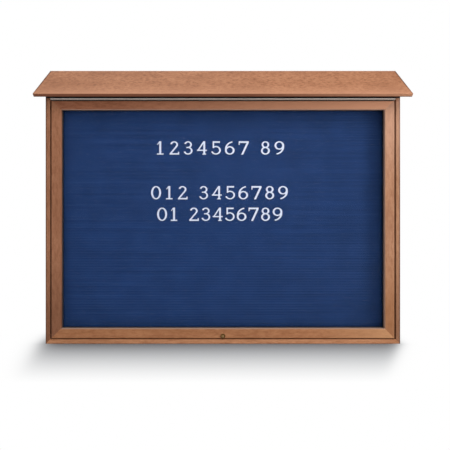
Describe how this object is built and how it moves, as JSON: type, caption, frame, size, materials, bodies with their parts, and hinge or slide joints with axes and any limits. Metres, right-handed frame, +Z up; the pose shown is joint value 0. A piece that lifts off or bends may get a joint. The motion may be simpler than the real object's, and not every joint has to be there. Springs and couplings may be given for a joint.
{
  "type": "lockable notice board",
  "caption": "Weatherproof outdoor notice board with a sloping roof, a glazed top-hinged locking door and a grooved letterboard.",
  "frame": {"origin": "back plane, midway between the four wall fixing holes", "axes": "+X to the viewer's right along the width, +Y out of the back towards the wall, +Z up"},
  "size_m": [1.3716, 0.1292, 1.0487],
  "materials": {
    "cedar_board": "cedar-coloured plastic lumber, fine matt grain",
    "board_back": "plain matt sheet",
    "blue_board": "matt, fine horizontal grooves",
    "white_digit": "moulded white plastic",
    "hinge_metal": "mill finish",
    "screw_steel": "zinc plated",
    "bright_steel": "ground and plated",
    "lock_brass": "worn satin",
    "zinc_steel": "zinc plated sheet",
    "clear_pane": "clear polycarbonate",
    "black_foam": "closed-cell foam tape",
    "black_bead": "black extrusion",
    "strut_black": "black powder coat"
  },
  "bodies": {
    "case": {"back_panel": "board_back", "batten_centre": "board_back", "batten_left": "board_back", "batten_right": "board_back", "batten_screws": "screw_steel", "bottom_board": "cedar_board", "case_screws": "screw_steel", "digits_row_1": "white_digit", "digits_row_2": "white_digit", "digits_row_3": "white_digit", "door_seals": "black_foam", "door_stop_bottom_left": "cedar_board", "door_stop_bottom_right": "cedar_board", "door_stop_left": "cedar_board", "door_stop_right": "cedar_board", "fitting_screws_case": "screw_steel", "header_board": "cedar_board", "hinge_case_screws": "screw_steel", "hinge_pin": "hinge_metal", "hinge_upper_leaf": "hinge_metal", "left_side_board": "cedar_board", "letterboard": "blue_board", "letterboard_screws": "screw_steel", "right_side_board": "cedar_board", "roof_board": "cedar_board", "roof_cleat_left": "cedar_board", "roof_cleat_right": "cedar_board", "roof_screws": "screw_steel", "strike_plate": "zinc_steel", "strut_bracket_case_left": "zinc_steel", "strut_bracket_case_right": "zinc_steel", "strut_case_pins": "bright_steel"},
    "door": {"door_bottom_rail": "cedar_board", "door_left_stile": "cedar_board", "door_right_stile": "cedar_board", "door_top_rail": "cedar_board", "fitting_screws_door": "screw_steel", "hinge_door_screws": "screw_steel", "hinge_lower_leaf": "hinge_metal", "lock_body": "lock_brass", "lock_nut": "zinc_steel", "mitre_splines": "cedar_board", "pane": "clear_pane", "pane_bead_bottom": "black_bead", "pane_bead_left": "black_bead", "pane_bead_right": "black_bead", "pane_bead_top": "black_bead", "pane_gasket": "black_foam", "strut_bracket_door_left": "zinc_steel", "strut_bracket_door_right": "zinc_steel"},
    "lock": {"lock_cam": "zinc_steel", "lock_cam_screw": "screw_steel", "lock_plug": "lock_brass"},
    "strut_tube_left": {"strut_tube_left": "strut_black"},
    "strut_tube_right": {"strut_tube_right": "strut_black"},
    "strut_rod_left": {"strut_door_pin_left": "bright_steel", "strut_rod_left": "bright_steel"},
    "strut_rod_right": {"strut_door_pin_right": "bright_steel", "strut_rod_right": "bright_steel"}
  },
  "joints": [
    {"name": "door_hinge", "type": "hinge", "parent": "case", "child": "door", "pos_m": [0, -0.0927, 0.45], "axis": [-1, 0, 0], "range_deg": [0, 85]},
    {"name": "lock_turn", "type": "hinge", "parent": "door", "child": "lock", "pos_m": [0, -0.0889, -0.431], "axis": [0, 1, 0], "range_deg": [0, 90]},
    {"name": "strut_swing_left", "type": "hinge", "parent": "case", "child": "strut_tube_left", "pos_m": [-0.6245, -0.0467, 0.412], "axis": [-1, 0, 0], "range_deg": [0, 84.21]},
    {"name": "strut_extend_left", "type": "slide", "parent": "strut_tube_left", "child": "strut_rod_left", "axis": [0, -0.0205, -0.9998], "range_m": [0, 0.08066]},
    {"name": "strut_swing_right", "type": "hinge", "parent": "case", "child": "strut_tube_right", "pos_m": [0.6245, -0.0467, 0.412], "axis": [-1, 0, 0], "range_deg": [0, 84.21]},
    {"name": "strut_extend_right", "type": "slide", "parent": "strut_tube_right", "child": "strut_rod_right", "axis": [0, -0.0205, -0.9998], "range_m": [0, 0.08066]}
  ],
  "couplings": [
    {"joint": "strut_swing_left", "follows": "door_hinge", "ratio": 0.98952},
    {"joint": "strut_extend_left", "follows": "door_hinge", "m_per_rad": 0.054233},
    {"joint": "strut_swing_right", "follows": "door_hinge", "ratio": 0.98952},
    {"joint": "strut_extend_right", "follows": "door_hinge", "m_per_rad": 0.054233}
  ]
}
